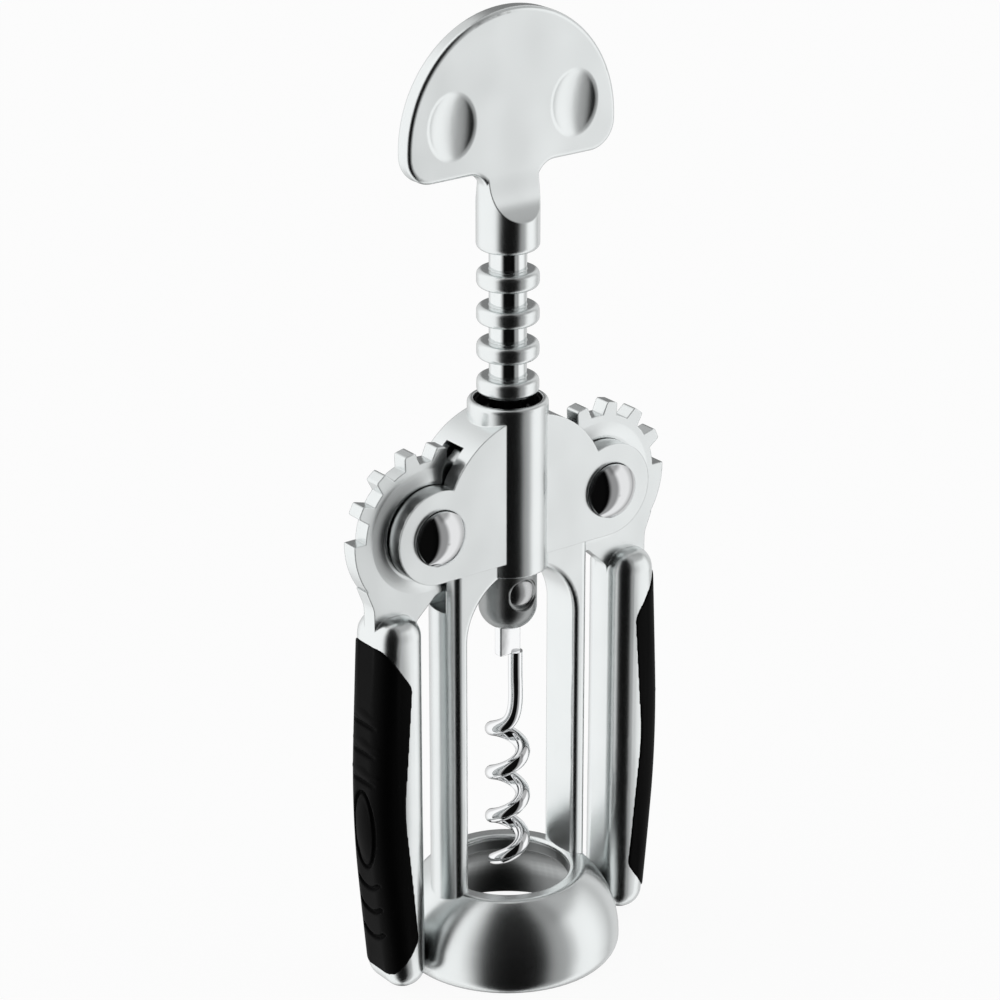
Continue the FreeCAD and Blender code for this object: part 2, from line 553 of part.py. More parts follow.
def handle():
    half_thickness = HANDLE_THICKNESS / 2
    plate = plate_y(handle_outline(), half_thickness)

    def is_outline(edge):
        box = edge.BoundBox
        on_face = box.YLength < TOLERANCE and abs(abs(box.Center.y) - half_thickness) < TOLERANCE
        return on_face and box.ZMin > HANDLE_BOTTOM_Z - HANDLE_ROOT_FILLET - TOLERANCE

    plate = round_edges(plate, HANDLE_EDGE_FILLET, is_outline)
    collar = cylinder_z(COLLAR_R, COLLAR_BOTTOM_Z, HANDLE_BOTTOM_Z)
    collar = round_edges(collar, COLLAR_EDGE_FILLET,
                         lambda edge: is_circle_at(edge, COLLAR_BOTTOM_Z, COLLAR_R))
    for face in (-1, 1):
        scoop = cylinder_z(SCOOP_R, -2 * COLLAR_R, 2 * COLLAR_R)
        scoop.rotate(V(0, 0, 0), V(0, 1, 0), 90)
        scoop.translate(V(0, face * (half_thickness + SCOOP_R), SCOOP_TOP_Z))
        y_near, y_far = sorted((face * half_thickness, face * (half_thickness + SCOOP_R)))
        above = block(-2 * COLLAR_R, 2 * COLLAR_R, y_near, y_far, SCOOP_TOP_Z,
                      HANDLE_BOTTOM_Z + CUT_OVERRUN)
        collar = collar.cut([scoop, above])
    cuts = [cylinder_z(NECK_R, COLLAR_BOTTOM_Z - CUT_OVERRUN, SOCKET_TOP_Z)]
    cuts += [dimple(side, face) for side in (-1, 1) for face in (-1, 1)]
    solid = plate.fuse(collar).cut(cuts).removeSplitter()

    def is_dimple_rim(edge):
        box = edge.BoundBox
        on_face = box.YLength < TOLERANCE and abs(abs(box.Center.y) - half_thickness) < TOLERANCE
        return on_face and abs(abs(box.Center.x) - DIMPLE_X) < TOLERANCE

    return round_edges(solid, DIMPLE_RIM_FILLET, is_dimple_rim)


def helix_section(turn):
    """Centre, direction and radius of the wire at a number of turns from the tip."""
    angle = math.radians(TIP_ANGLE_DEG) + 2 * math.pi * turn
    place = V(HELIX_R * math.cos(angle), HELIX_R * math.sin(angle), TIP_Z + HELIX_PITCH * turn)
    along = V(-HELIX_R * math.sin(angle), HELIX_R * math.cos(angle), HELIX_PITCH / (2 * math.pi))
    radius = WIRE_R
    if turn < TIP_TAPER_TURNS:
        radius = WIRE_R * (TIP_BLUNTNESS + (1 - TIP_BLUNTNESS) * math.sqrt(turn / TIP_TAPER_TURNS))
    return place, along.normalize(), radius


def bend_sections(start, start_along, end, end_along):
    """Sections of the smooth bend that leads the wire from the helix into the straight shank."""
    pull = (end - start).Length / 3
    a, b, c, d = start, start + start_along * pull, end - end_along * pull, end
    sections = []
    for step in range(1, BEND_STEPS + 1):
        t = step / BEND_STEPS
        s = 1 - t
        place = a * s ** 3 + b * (3 * s * s * t) + c * (3 * s * t * t) + d * t ** 3
        along = (b - a) * s * s + (c - b) * (2 * s * t) + (d - c) * t * t
        sections.append((place, along.normalize(), WIRE_R))
    return sections


def worm():
    """Right-handed wire screw whose top straightens into a shank under a flat tang."""
    count = int(HELIX_TURNS * HELIX_SECTIONS_PER_TURN) + 1
    sections = [helix_section(i / HELIX_SECTIONS_PER_TURN) for i in range(count)]
    top, top_along, _ = sections[-1]
    sections += bend_sections(top, top_along, V(SHANK_X, SHANK_Y, SHANK_JOIN_Z), V(0, 0, 1))
    rings = []
    side = V(math.cos(math.radians(TIP_ANGLE_DEG)), math.sin(math.radians(TIP_ANGLE_DEG)), 0)
    for place, along, radius in sections:
        side = (side - along * side.dot(along)).normalize()
        circle = Part.Circle(place, along, radius)
        circle.XAxis = side
        rings.append(Part.Wire(circle.toShape()))
    wire = Part.makeLoft(rings, True, True)
    shank = cylinder_z(WIRE_R, SHANK_JOIN_Z, TANG_BOTTOM_Z + WIRE_R / 2, SHANK_X, SHANK_Y)
    blank = wire.multiFuse([shank, tang_box(0, TANG_BOTTOM_Z, TANG_TOP_Z)])
    return blank.cut(cylinder_y(RIVET_R, 0, RIVET_Z, -PLUG_R, PLUG_R))


def worm_rivet():
    shaft = cylinder_y(RIVET_R, 0, RIVET_Z, -RIVET_RECESS_Y - HEAD_LAP, RIVET_RECESS_Y + HEAD_LAP)
    head = domed_head(RIVET_HEAD_R, RIVET_HEAD_HEIGHT)
    return shaft.multiFuse([facing_front(head, 0, -RIVET_RECESS_Y, RIVET_Z),
                            facing_back(head, 0, RIVET_RECESS_Y, RIVET_Z)])


# ---- wings --------------------------------------------------------------------------------

def arm_blank():
    """Whole outside of the right arm, metal and rubber together."""
    outline = rounded_outline([
        (ARM_INNER_TOP_X, ARM_TOP_Z, ARM_ROUND_R),
        (ARM_OUTER_TOP_X, ARM_TOP_Z, ARM_ROUND_R),
        (ARM_OUTER_BELLY_X, ARM_BELLY_Z, ARM_SIDE_R),
        (ARM_OUTER_FOOT_X, ARM_GROUND_GAP, ARM_ROUND_R),
        (ARM_INNER_FOOT_X, ARM_GROUND_GAP, ARM_ROUND_R),
        (ARM_INNER_TOP_X, ARM_INNER_BEND_Z, ARM_SIDE_R),
    ])
    blank = plate_y(outline, ARM_HALF_DEPTH)
    middle_x = (ARM_INNER_TOP_X + ARM_OUTER_TOP_X) / 2
    for face in (-1, 1):
        crown_y = face * (ARM_HALF_DEPTH - ARM_CROWN_R)
        blank = blank.common(cylinder_z(ARM_CROWN_R, 0, PIVOT_Z, middle_x, crown_y))

    def is_outline(edge):
        return abs(edge.BoundBox.Center.y) > ARM_HALF_DEPTH / 2

    return round_edges(blank, ARM_EDGE_R, is_outline)


def grip_zone():
    """Part of the arm that the rubber covers, as a plate wider than the arm is deep."""
    outside_x = ARM_OUTER_BELLY_X + ARM_CORNER_R
    outline = rounded_outline([
        (ARM_OUTER_TOP_X, GRIP_TOP_Z, GRIP_TOP_R),
        (outside_x, GRIP_TOP_Z, 0),
        (outside_x, GRIP_BOTTOM_Z, 0),
        (ARM_OUTER_FOOT_X, GRIP_BOTTOM_Z, GRIP_CORNER_R),
        (GRIP_EDGE_FOOT_X, GRIP_FOOT_Z, GRIP_CORNER_R),
        (GRIP_WAIST_X, GRIP_WAIST_Z, GRIP_WAIST_R),
        (GRIP_EDGE_TOP_X, GRIP_SHOULDER_Z, GRIP_CORNER_R),
    ])
    return plate_y(outline, ARM_HALF_DEPTH + CUT_OVERRUN)


def arm_core():
    """Metal spine inside the rubber."""
    inner_x = ARM_INNER_TOP_X + CORE_INSET
    outline = rounded_outline([
        (inner_x, CORE_TOP_Z, 0),
        (ARM_OUTER_TOP_X - GRIP_WALL, CORE_TOP_Z, 0),
        (ARM_OUTER_BELLY_X - GRIP_WALL, ARM_BELLY_Z, ARM_SIDE_R),
        (ARM_OUTER_FOOT_X - GRIP_WALL, CORE_FOOT_Z, 0),
        (inner_x, CORE_FOOT_Z, 0),
    ])
    return plate_y(outline, CORE_HALF_DEPTH)


def gear_tooth(index):
    """One tooth, drawn pointing at the screw from the right pivot and turned into place."""
    tooth = rounded_outline([
        (GEAR_ROOT_R - TOOTH_ROOT_SINK, -TOOTH_ROOT_WIDTH / 2, 0),
        (GEAR_ROOT_R, -TOOTH_ROOT_WIDTH / 2, 0),
        (GEAR_TIP_R, -TOOTH_TIP_WIDTH / 2, TOOTH_TIP_FILLET),
        (GEAR_TIP_R, TOOTH_TIP_WIDTH / 2, TOOTH_TIP_FILLET),
        (GEAR_ROOT_R, TOOTH_ROOT_WIDTH / 2, 0),
        (GEAR_ROOT_R - TOOTH_ROOT_SINK, TOOTH_ROOT_WIDTH / 2, 0),
    ])
    solid = plate_y(tooth, GEAR_PLATE_THICKNESS / 2)
    solid.rotate(V(0, 0, 0), V(0, 1, 0), 180 + index * 360 / TEETH_PER_TURN)
    solid.translate(V(PIVOT_X, 0, PIVOT_Z))
    return solid


def gear_wheel():
    """Plate of the toothed wheel with its hub boss, whose flanks are hollow."""
    plate_z = GEAR_PLATE_THICKNESS / 2
    mid_x = (HUB_R + HUB_FOOT_R) / 2
    mid_z = plate_z + HUB_STEP * (0.5 - HUB_FLANK_SAG)
    edges = chain([(GEAR_ROOT_R, -plate_z), (GEAR_ROOT_R, plate_z)])
    edges += chain([(0, -HUB_HALF_DEPTH), (0, HUB_HALF_DEPTH)])
    for face in (-1, 1):
        flank = Part.Arc(V(HUB_R, 0, face * HUB_HALF_DEPTH), V(mid_x, 0, face * mid_z),
                         V(HUB_FOOT_R, 0, face * plate_z))
        edges.append(flank.toShape())
        edges += chain([(0, face * HUB_HALF_DEPTH), (HUB_R, face * HUB_HALF_DEPTH)])
        edges += chain([(HUB_FOOT_R, face * plate_z), (GEAR_ROOT_R, face * plate_z)])
    return facing_front(revolved(edges), PIVOT_X, 0, PIVOT_Z)


def gear_neck():
    """Plate from the hub down into the arm, with its round outer shoulder."""
    half = GEAR_PLATE_THICKNESS / 2
    shoulder = cylinder_y(GEAR_TIP_R, PIVOT_X, PIVOT_Z, -half, half)
    shoulder_x = PIVOT_X + GEAR_TIP_R + CUT_OVERRUN
    shoulder_z = PIVOT_Z + SHOULDER_RISE
    keep = rounded_outline([
        (PIVOT_X, shoulder_z, 0),
        (shoulder_x, shoulder_z, 0),
        (shoulder_x, PIVOT_Z - GEAR_TIP_R, 0),
        (ARM_INNER_TOP_X, PIVOT_Z - GEAR_TIP_R, 0),
    ])
    shoulder = shoulder.common(plate_y(keep, half + CUT_OVERRUN))
    stem_top_z = PIVOT_Z - NECK_TOP_DROP
    inner_x = PIVOT_X - NECK_INNER_REACH
    stem = rounded_outline([
        (inner_x, stem_top_z, 0),
        (NECK_OUTER_X + NECK_FLARE, stem_top_z, 0),
        (NECK_OUTER_X, stem_top_z - NECK_FLARE_HEIGHT, NECK_FLARE_R),
        (NECK_OUTER_X, CORE_TOP_Z, 0),
        (ARM_INNER_TOP_X, CORE_TOP_Z, 0),
        (ARM_INNER_TOP_X, ARM_TOP_Z - NECK_LAP, NECK_FOOT_R),
        (inner_x + NECK_INNER_SLANT, PIVOT_Z - NECK_INNER_DROP, NECK_INNER_R),
    ])
    return shoulder.fuse(plate_y(stem, half))


def right_lever():
    teeth = [gear_tooth(index) for index in range(FIRST_TOOTH, LAST_TOOTH + 1)]
    arm = arm_blank().cut(grip_zone()).fuse(arm_core())
    lever = gear_wheel().multiFuse([gear_neck(), arm] + teeth)
    y_cut = HUB_HALF_DEPTH + CUT_OVERRUN
    bore = cylinder_y(PIN_R + PIN_RUNNING_GAP, PIVOT_X, PIVOT_Z, -y_cut, y_cut)
    return lever.cut(bore).removeSplitter()


def right_grip():
    return arm_blank().common(grip_zone()).cut(arm_core())


def mirrored(shape):
    return shape.mirror(V(0, 0, 0), V(1, 0, 0))


def pivot_pin(side):
    """Polished domed head seated in the front ear, shaft, and the tail formed behind the back ear."""
    x = side * PIVOT_X
    seat_y = -CASE_HALF_DEPTH + PIN_HEAD_SINK
    shaft = cylinder_y(PIN_R, x, PIVOT_Z, seat_y - HEAD_LAP, CASE_HALF_DEPTH + HEAD_LAP)
    wall_y = -CASE_HALF_DEPTH - PIN_HEAD_WALL
    rim = cylinder_y(PIN_HEAD_R, x, PIVOT_Z, wall_y, seat_y)
    dome = facing_front(domed_head(PIN_HEAD_R, PIN_DOME_HEIGHT), x, wall_y, PIVOT_Z)
    tail = facing_back(domed_head(TAIL_HEAD_R, TAIL_HEAD_HEIGHT), x, CASE_HALF_DEPTH, PIVOT_Z)
    return shaft.multiFuse([rim, dome, tail]).removeSplitter()


# ---- the parts ----------------------------------------------------------------------------

def main():
    lever = right_lever()
    grip = right_grip()
    parts = {
        "body_casting": body_casting(),
        "guide_bush": guide_bush(),
        "spindle": spindle(),
        "handle": handle(),
        "worm": worm(),
        "worm_rivet": worm_rivet(),
        "left_lever": mirrored(lever),
        "right_lever": lever,
        "left_grip": mirrored(grip),
        "right_grip": grip,
    }
    parts["left_pivot_pin"] = pivot_pin(-1)
    parts["right_pivot_pin"] = pivot_pin(1)
    os.makedirs("parts", exist_ok=True)
    for name, shape in parts.items():
        shape.exportStep("parts/" + name + ".step")
        box = shape.optimalBoundingBox()
        print(f"{name}: {len(shape.Solids)} solid, valid {shape.isValid()}, volume {shape.Volume:.1f}, "
              f"x {box.XMin:.2f}..{box.XMax:.2f} y {box.YMin:.2f}..{box.YMax:.2f} "
              f"z {box.ZMin:.2f}..{box.ZMax:.2f}")


main()
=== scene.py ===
# %% [markdown]
# # A wing corkscrew, dressed from its working parts
#
# The corkscrew's metal and rubber pieces are already here at their real size, in metres,
# standing on the floor with the screw's axis on Z. This lesson gives them their finishes and
# models the pieces whose shape is softer or finer than their working solids: the moulded rubber
# grips and the smooth polished worm. Nothing that moves is moved: each new piece only rides on
# the body that carries it.

# %% Load the working parts
import json
import math

import bpy
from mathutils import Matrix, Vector


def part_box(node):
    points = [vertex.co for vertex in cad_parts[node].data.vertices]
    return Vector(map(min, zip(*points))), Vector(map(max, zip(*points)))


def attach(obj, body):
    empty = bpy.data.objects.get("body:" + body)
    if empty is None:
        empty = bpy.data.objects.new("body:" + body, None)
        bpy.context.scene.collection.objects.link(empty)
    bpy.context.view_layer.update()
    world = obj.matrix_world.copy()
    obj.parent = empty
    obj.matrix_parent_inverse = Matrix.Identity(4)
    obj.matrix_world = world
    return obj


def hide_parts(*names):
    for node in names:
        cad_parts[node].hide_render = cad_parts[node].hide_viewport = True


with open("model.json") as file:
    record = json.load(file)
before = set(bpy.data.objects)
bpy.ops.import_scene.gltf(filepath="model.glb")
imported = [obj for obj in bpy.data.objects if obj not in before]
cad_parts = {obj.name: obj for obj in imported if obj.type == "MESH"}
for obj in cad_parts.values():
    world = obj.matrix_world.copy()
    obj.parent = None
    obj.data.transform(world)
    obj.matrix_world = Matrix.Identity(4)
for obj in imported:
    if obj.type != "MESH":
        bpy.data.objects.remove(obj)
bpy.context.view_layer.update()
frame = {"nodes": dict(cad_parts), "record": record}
nodes = frame["nodes"]
MM = 0.001
print("parts:", ", ".join(sorted(nodes)))

# %% [markdown]
# ## Writing shader maths as Python
#
# A finish is a small sum of masks and noises. Adding each Math node by hand hides that sum, so
# this class wraps a socket: `+`, `-` and `*` on it add the Math node, and `node` adds any other.

# %% The socket wrapper
class Signal:
    """One output in a node tree. Arithmetic on it adds Math nodes to the same tree."""

    def __init__(self, tree, socket=None):
        self.tree = tree
        self.socket = socket

    def node(self, kind, settings=None, sockets=None, out=0):
        """Adds a node: its settings first, then values or links for its sockets."""
        made = self.tree.nodes.new(kind)
        for name, value in (settings or {}).items():
            setattr(made, name, value)
        for name, value in (sockets or {}).items():
            if isinstance(value, Signal):
                self.tree.links.new(value.socket, made.inputs[name])
            else:
                made.inputs[name].default_value = value
        return Signal(self.tree, made.outputs[out])

    def feed(self, shader, name):
        """Joins this output to a socket of the shader."""
        self.tree.links.new(self.socket, shader.inputs[name])

    def math(self, operation, left, right=0.0):
        return self.node("ShaderNodeMath", {"operation": operation}, {0: left, 1: right})

    def __add__(self, other):
        return self.math("ADD", self, other)

    __radd__ = __add__

    def __sub__(self, other):
        return self.math("SUBTRACT", self, other)

    def __rsub__(self, other):
        return self.math("SUBTRACT", other, self)

    def __mul__(self, other):
        return self.math("MULTIPLY", self, other)

    __rmul__ = __mul__

    def step(self, low, high):
        """0 below low, 1 above high, and smooth between them."""
        return self.node("ShaderNodeMapRange", {"interpolation_type": "SMOOTHSTEP"},
                         {"Value": self, "From Min": low, "From Max": high})

    def mix(self, first, second):
        """The first colour where this is 0 and the second where it is 1."""
        return self.node("ShaderNodeMix", {"data_type": "RGBA"},
                         {"Factor": self, 6: first, 7: second}, out=2)


# %% [markdown]
# A few inputs come back in every finish: a tinted grey, a soft noise, a shallow bump, and how
# open the surface is to its surroundings, which is low in grooves and narrow gaps.

# %% Inputs that the finishes share
def grey(level, red=1.0, green=1.0, blue=1.0):
    """A grey of this level, or one tinted by three factors, with its alpha."""
    return (level * red, level * green, level * blue, 1.0)


def new_material(name):
    """A material, a place in object space in its node tree, and its Principled shader."""
    material = bpy.data.materials.new(name)
    material.use_nodes = True
    tree = material.node_tree
    place = Signal(tree).node("ShaderNodeTexCoord", out="Object")
    return material, place, tree.nodes["Principled BSDF"]


def noise(place, size, detail=2.0):
    """Soft noise from 0 to 1 with features of about this size in metres."""
    return place.node("ShaderNodeTexNoise", {},
                      {"Vector": place, "Scale": 1 / size, "Detail": detail})


def bump(height, strength, depth, **below):
    """Tilts the shading by a height from 0 to 1, on top of a Normal if one is given."""
    return height.node("ShaderNodeBump", {},
                       {"Strength": strength, "Distance": depth, "Height": height, **below})


def openness(place, reach):
    """1 on open surfaces, and less where others stand around them within this reach."""
    return place.node("ShaderNodeAmbientOcclusion", {"samples": 4}, {"Distance": reach}, out="AO")


# %% [markdown]
# ## Satin nickel
#
# The castings are plated and then brushed to a soft sheen: nearly colourless, smooth enough to
# mirror the studio as wide blurred bands. Two noises move the gloss, a broad one like handling
# and a fine one like the brushing, and the fine one is also a shallow bump. A third, very broad
# noise is a bump too, because hand-finished faces are never quite flat and their reflections
# bend. A Bevel node rounds every sharp edge in the shading, because real castings have no knife
# edges and each edge should catch a line of light. Narrow gaps are painted darker: painted shade,
# where the surfaces around them keep the light out.
#
# Where polish is given, the metal within that distance of the screw's axis is smoother: the
# spindle's necks are turned, and only its rings are satin. Where a mask of painted shade is
# given, the metal there is painted darker and made duller: painted shade in the hollow of the
# bell, and on the plug at the spindle's foot, which stands in the shade of the casting's window.
# The masks are worked out from the place in object space, which needs no painted image and stays
# sharp at any size.

# %% Where shade is painted on the metal
MASK_EDGE = 0.2 * MM
BELL_FOOT_MIDDLE = 20.3 * MM  # radius of the middle of the bell's wall at its foot
BELL_WALL_BEND = 28.3  # how fast that radius shrinks with the square of the height, per metre
BELL_HOLLOW_TOP = 15.7 * MM
PLUG_TOP = 83.6 * MM


def from_axis(place):
    """Distance from the screw's axis."""
    across = place.node("ShaderNodeVectorMath", {"operation": "MULTIPLY"},
                        {0: place, 1: (1, 1, 0)})
    return place.node("ShaderNodeVectorMath", {"operation": "LENGTH"}, {0: across}, out="Value")


def height_of(place):
    return place.node("ShaderNodeSeparateXYZ", {}, {"Vector": place}, out="Z")


def bell_inside(place):
    """1 on the hollow of the bell: nearer the axis than the middle of its curved wall."""
    height = height_of(place)
    wall_middle = BELL_FOOT_MIDDLE - height * height * BELL_WALL_BEND
    below_bore = 1 - height.step(BELL_HOLLOW_TOP - MASK_EDGE, BELL_HOLLOW_TOP + MASK_EDGE)
    return (wall_middle - from_axis(place)).step(-MASK_EDGE, MASK_EDGE) * below_bore


def plug_end(place):
    """1 on the spindle's plain lower end."""
    return 1 - height_of(place).step(PLUG_TOP - MASK_EDGE, PLUG_TOP)


# %% Satin nickel
NICKEL_LEVEL = 0.84
NICKEL_TINT = 0.97  # share of red: nickel plate under a white tent looks faintly cool
HANDLED_LEVEL = 0.94
HANDLED_TINT = 0.965
NICKEL_GLOSS = 0.25
HANDLING_SIZE = 11 * MM
HANDLING_HAZE = 0.05
BRUSHING_SIZE = 0.3 * MM
BRUSHING_HAZE = 0.03
BRUSHING_STRENGTH = 0.08
BRUSHING_DEPTH = 0.02 * MM
DENT_SIZE = 16 * MM
DENT_DEPTH = 0.25 * MM
EDGE_R = 0.35 * MM
CREVICE_REACH = 3.5 * MM
CREVICE_OPENNESS = 0.45  # openness from which the plate has its full colour
CREVICE_SHADE_LEVEL = 0.14
SHADE_MASK_HAZE = 0.08
POLISH_LEFT = 0.35  # share of the haze that is left where the metal is polished


def satin_nickel(name, polish=0.0, painted_shade_mask=None, painted_shade_level=0.3):
    material, place, shader = new_material(name)
    handling = noise(place, HANDLING_SIZE, 3.0)
    brushing = noise(place, BRUSHING_SIZE, 1.0)
    dents = noise(place, DENT_SIZE, 1.0)

    plate = handling.mix(grey(NICKEL_LEVEL, red=NICKEL_TINT),
                         grey(NICKEL_LEVEL * HANDLED_LEVEL, red=HANDLED_TINT))
    mean_haze = (HANDLING_HAZE + BRUSHING_HAZE) / 2
    rough = handling * HANDLING_HAZE + brushing * BRUSHING_HAZE + NICKEL_GLOSS - mean_haze
    # Painted shade: where the mask is, the base colour is painted darker and the metal is
    # rougher.
    if painted_shade_mask:
        painted_shade = painted_shade_mask(place)
        plate = painted_shade.mix(plate, grey(painted_shade_level, red=NICKEL_TINT))
        rough = rough + painted_shade * SHADE_MASK_HAZE
    if polish:
        satin_share = from_axis(place).step(polish - MASK_EDGE / 2, polish + MASK_EDGE / 2)
        rough = rough * (satin_share * (1 - POLISH_LEFT) + POLISH_LEFT)
    # Painted shade: the base colour is darker in narrow gaps and crevices, from ambient
    # occlusion.
    unshaded_share = openness(place, CREVICE_REACH).step(0.0, CREVICE_OPENNESS)
    unshaded_share.mix(grey(CREVICE_SHADE_LEVEL, red=NICKEL_TINT), plate).feed(shader, "Base Color")
    rough.feed(shader, "Roughness")

    rounded = place.node("ShaderNodeBevel", {"samples": 6}, {"Radius": EDGE_R})
    uneven = bump(dents, 1.0, DENT_DEPTH, Normal=rounded)
    bump(brushing, BRUSHING_STRENGTH, BRUSHING_DEPTH, Normal=uneven).feed(shader, "Normal")
    shader.inputs["Metallic"].default_value = 1.0
    return material


POLISHED_WITHIN = 3.9 * MM
satin = satin_nickel("satin_nickel")
# Painted shade in the bell's hollow and on the spindle's plug.
cast = satin_nickel("cast_nickel", painted_shade_mask=bell_inside, painted_shade_level=0.24)
turned = satin_nickel("turned_nickel", POLISHED_WITHIN, painted_shade_mask=plug_end, painted_shade_level=0.36)
print("satin nickel:", len(satin.node_tree.nodes), "nodes")

# %% [markdown]
# ## Polished chrome
#
# The worm, its rivet and the heads of the pivot pins are polished, so they mirror the studio in
# sharp blacks and whites. A little slow waviness keeps them from looking like glass beads. The
# rivet's head has a darker colour and more haze.

# %% Polished chrome
WAVE_STRENGTH = 0.3
SMEAR_SIZE = 1.4 * MM
SMEAR_HAZE = 0.05


def polished_chrome(name, wave_size, wave_height, level=0.86, haze=0.02):
    material, place, shader = new_material(name)
    waves = noise(place, wave_size, 1.0)
    smears = noise(place, SMEAR_SIZE, 2.0)
    bump(waves, WAVE_STRENGTH, wave_height).feed(shader, "Normal")
    (smears * SMEAR_HAZE + haze).feed(shader, "Roughness")
    shader.inputs["Base Color"].default_value = grey(level, red=0.99, blue=1.01)
    shader.inputs["Metallic"].default_value = 1.0
    return material


chrome = polished_chrome("polished_chrome", 5 * MM, 0.12 * MM, level=0.70, haze=0.03)
rivet_chrome = polished_chrome("rivet_chrome", 3 * MM, 0.05 * MM, level=0.55, haze=0.24)
wire_chrome = polished_chrome("wire_chrome", 2.2 * MM, 0.10 * MM)
print("chrome:", len(chrome.node_tree.nodes), "nodes")

# %% [markdown]
# ## Black rubber and black plastic
#
# The grips are soft matt rubber: almost black, with a faint dusty sheen and a pebble too fine to
# see as more than a break in the highlight. In their grooves the rubber is rougher, because
# nothing rubs it smooth there, so each groove reads as a dark line. The bush is plain black
# nylon, a little smoother.

# %% Black rubber and plastic
DUST_SIZE = 8 * MM
DUST_LEVEL = 1.6
DUST_HAZE = 0.12
UNRUBBED_REACH = 1.5 * MM
UNRUBBED_OPENNESS = (0.5, 0.95)
UNRUBBED_HAZE = 0.45
PEBBLE_STRENGTH = 0.35
BLACK_SHEEN = 0.045


def matt_black(name, base, gloss, pebble_size, pebble_depth):
    material, place, shader = new_material(name)
    dust = noise(place, DUST_SIZE, 3.0)
    pebble = noise(place, pebble_size, 2.0)
    dust.mix(grey(base), grey(base * DUST_LEVEL, blue=1.05)).feed(shader, "Base Color")
    unrubbed = 1 - openness(place, UNRUBBED_REACH).step(*UNRUBBED_OPENNESS)
    (dust * DUST_HAZE + unrubbed * UNRUBBED_HAZE + gloss).feed(shader, "Roughness")
    bump(pebble, PEBBLE_STRENGTH, pebble_depth).feed(shader, "Normal")
    shader.inputs["Specular IOR Level"].default_value = BLACK_SHEEN
    return material


rubber = matt_black("black_rubber", 0.001, 0.48, 0.35 * MM, 0.03 * MM)
nylon = matt_black("black_nylon", 0.006, 0.40, 0.6 * MM, 0.01 * MM)
print("black finishes:", rubber.name, "and", nylon.name)

# %% [markdown]
# Each working part names the material that it is made of. Three of them have a variant of it for
# themselves: the body with painted shade in its hollow, the turned spindle with painted shade
# on its plug, and the hazy rivet.

# %% Finishes of the working parts
FINISHES = {
    "satin_metal": satin,
    "polished_metal": chrome,
    "black_rubber": rubber,
    "black_plastic": nylon,
}
OWN_FINISHES = {"body_casting": cast, "spindle": turned, "worm_rivet": rivet_chrome}
for part in frame["record"]["subparts"]:
    mesh = nodes[part["node"]].data
    mesh.materials.clear()
    mesh.materials.append(OWN_FINISHES.get(part["node"], FINISHES[part["material_slot"]]))

# %% [markdown]
# ## Working on one piece at a time
#
# Blender's operators act on whatever is selected, so each step first selects its own piece and
# nothing else. A modifier is added with its settings and applied at once, as by hand.

# %% Helpers for modelling
def new_object(name, data):
    """An object with this mesh, curve or camera, put into the scene."""
    made = bpy.data.objects.new(name, data)
    bpy.context.scene.collection.objects.link(made)
    return made


def pick(*pieces):
    """Selects these pieces alone; the last one is active."""
    bpy.ops.object.select_all(action="DESELECT")
    for piece in pieces:
        piece.select_set(True)
    bpy.context.view_layer.objects.active = pieces[-1]


def apply_modifier(piece, kind, **settings):
    pick(piece)
    modifier = piece.modifiers.new(kind.lower(), kind)
    for name, value in settings.items():
        setattr(modifier, name, value)
    bpy.ops.object.modifier_apply(modifier=modifier.name)


def carve(piece, tool, operation="DIFFERENCE"):
    """Cuts the tool out of the piece, or adds it with UNION, and throws the tool away."""
    apply_modifier(piece, "BOOLEAN", operation=operation, object=tool, solver="EXACT")
    bpy.data.objects.remove(tool)


def settle(piece):
    """Moves the piece's place, turn and scale into its mesh or curve."""
    pick(piece)
    bpy.ops.object.transform_apply(location=True, rotation=True, scale=True)


def new_piece(piece, name, material, body, node):
    """Names a finished piece, gives it its material and puts it on its body for its node."""
    piece.name = name
    piece.data.materials.clear()
    piece.data.materials.append(material)
    pick(piece)
    bpy.ops.object.shade_smooth()
    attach(piece, body)
    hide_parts(node)
    print(name, "has", len(piece.data.polygons), "faces")


# %% [markdown]
# ## The rubber grips
#
# Each grip is one moulding that wraps the outer half of an arm. Its skin has three raised ribs
# for the fingertips, an oval pad, and below that three curved grooves. The grip could be lofted
# again from sections, but its edges must meet the metal, so it starts as a merged copy of its own
# working solid, swelled by a quarter of a millimetre, as moulded rubber stands a little proud of
# its core. The ribs, the pad and the grooves are carved with simple tools. At last a voxel
# remesh melts it all into one skin, because moulded rubber has no sharp edge anywhere, and a few
# rounds of smoothing soften what is left.

# %% The grip's start and its outer face
MERGE_DISTANCE = 0.01 * MM
SKIN_SWELL = 0.25 * MM
GRIP_MIDDLE = 35 * MM


def merged_copy(node):
    piece = new_object("start", node.data.copy())
    pick(piece)
    bpy.ops.object.mode_set(mode="EDIT")
    bpy.ops.mesh.select_all(action="SELECT")
    bpy.ops.mesh.remove_doubles(threshold=MERGE_DISTANCE)
    bpy.ops.object.mode_set(mode="OBJECT")
    return piece


def outer_face(piece, z):
    """Place on the middle of the left grip's outer face, and its lean about Y."""
    _, here, normal, _ = piece.ray_cast(Vector((-1, 0, z)), Vector((1, 0, 0)))
    return here, math.atan2(normal.z, -normal.x)


grip = merged_copy(nodes["left_grip"])
apply_modifier(grip, "DISPLACE", strength=SKIN_SWELL, mid_level=0.0)
print("the outer face stands at x =", round(outer_face(grip, GRIP_MIDDLE)[0].x / MM, 2), "mm")

# %% [markdown]
# The ribs are flat ellipsoids sunk in the face, each with a round groove at its lower edge. The
# heights are those of the grooves. For a groove the face is measured a little further down,
# where the rib above it doesn't reach.

